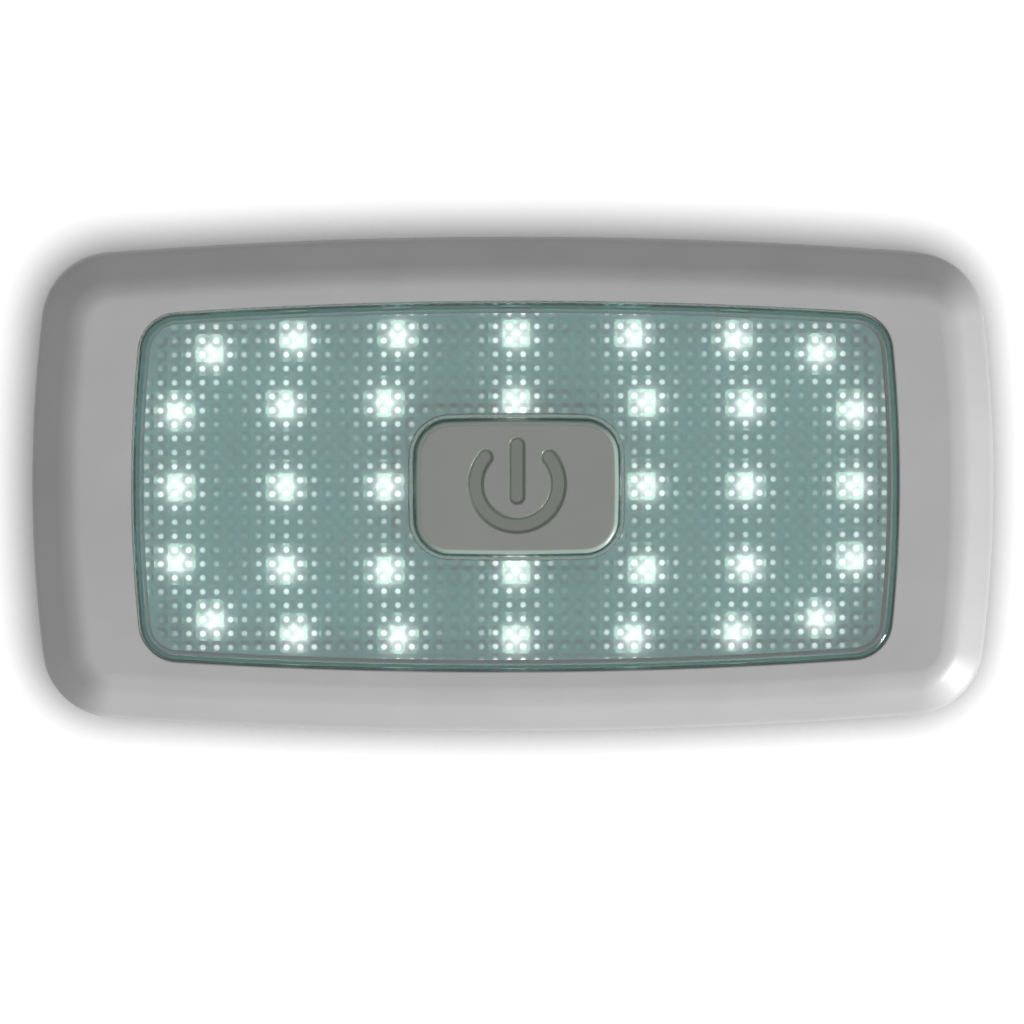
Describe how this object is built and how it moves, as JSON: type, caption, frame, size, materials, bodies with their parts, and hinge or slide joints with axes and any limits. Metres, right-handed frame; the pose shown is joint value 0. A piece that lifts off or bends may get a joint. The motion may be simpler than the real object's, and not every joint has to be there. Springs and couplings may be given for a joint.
{
  "type": "car dome light",
  "caption": "Oblong roof lamp for a car cabin: satin grey bezel, pale teal prismatic lens over rows of white LEDs and a large latching push button in the middle.",
  "frame": {"origin": "middle of the mounting face, where the lamp meets the roof lining", "axes": "+Z out of the mounting face towards the lens and the cabin, +X along the lamp's long side, +Y towards the top of the power symbol"},
  "size_m": [0.17, 0.0872, 0.0196],
  "materials": {
    "bezel_plastic": "satin moulded grey",
    "base_plastic": "matte moulded",
    "lens_plastic": "clear tinted polycarbonate, prismatic inside",
    "button_plastic": "satin moulded warm grey",
    "board": "white solder mask",
    "led_package": "white package with phosphor window",
    "resistor_body": "matte",
    "black_plastic": "moulded",
    "white_plastic": "moulded",
    "spring_steel": "bright wire",
    "tinned_brass": "tinned",
    "screw_steel": "zinc plated",
    "grommet_rubber": "matte"
  },
  "bodies": {
    "housing": {"front_bezel": "bezel_plastic", "base_plate": "base_plastic", "lens": "lens_plastic", "led_board": "board", "switch_case": "black_plastic", "switch_spring": "spring_steel", "switch_pins": "tinned_brass", "diode": "black_plastic", "supply_socket": "white_plastic", "socket_pins": "tinned_brass", "wire_grommet": "grommet_rubber", "board_screws": "screw_steel", "led_01": "led_package", "led_02": "led_package", "led_03": "led_package", "led_04": "led_package", "led_05": "led_package", "led_06": "led_package", "led_07": "led_package", "led_08": "led_package", "led_09": "led_package", "led_10": "led_package", "led_11": "led_package", "led_12": "led_package", "led_13": "led_package", "led_14": "led_package", "led_15": "led_package", "led_16": "led_package", "led_17": "led_package", "led_18": "led_package", "led_19": "led_package", "led_20": "led_package", "led_21": "led_package", "led_22": "led_package", "led_23": "led_package", "led_24": "led_package", "led_25": "led_package", "led_26": "led_package", "led_27": "led_package", "led_28": "led_package", "led_29": "led_package", "led_30": "led_package", "led_31": "led_package", "led_32": "led_package", "led_33": "led_package", "led_34": "led_package", "resistor_01": "resistor_body", "resistor_02": "resistor_body", "resistor_03": "resistor_body", "resistor_04": "resistor_body", "resistor_05": "resistor_body", "resistor_06": "resistor_body"},
    "button": {"power_button": "button_plastic", "switch_plunger": "white_plastic"}
  },
  "joints": [
    {"name": "button_press", "type": "slide", "parent": "housing", "child": "button", "axis": [0, 0, -1], "range_m": [0, 0.0016], "stiffness_N_per_m": 900, "springref_m": -0.001, "deforming": ["switch_spring"]}
  ]
}
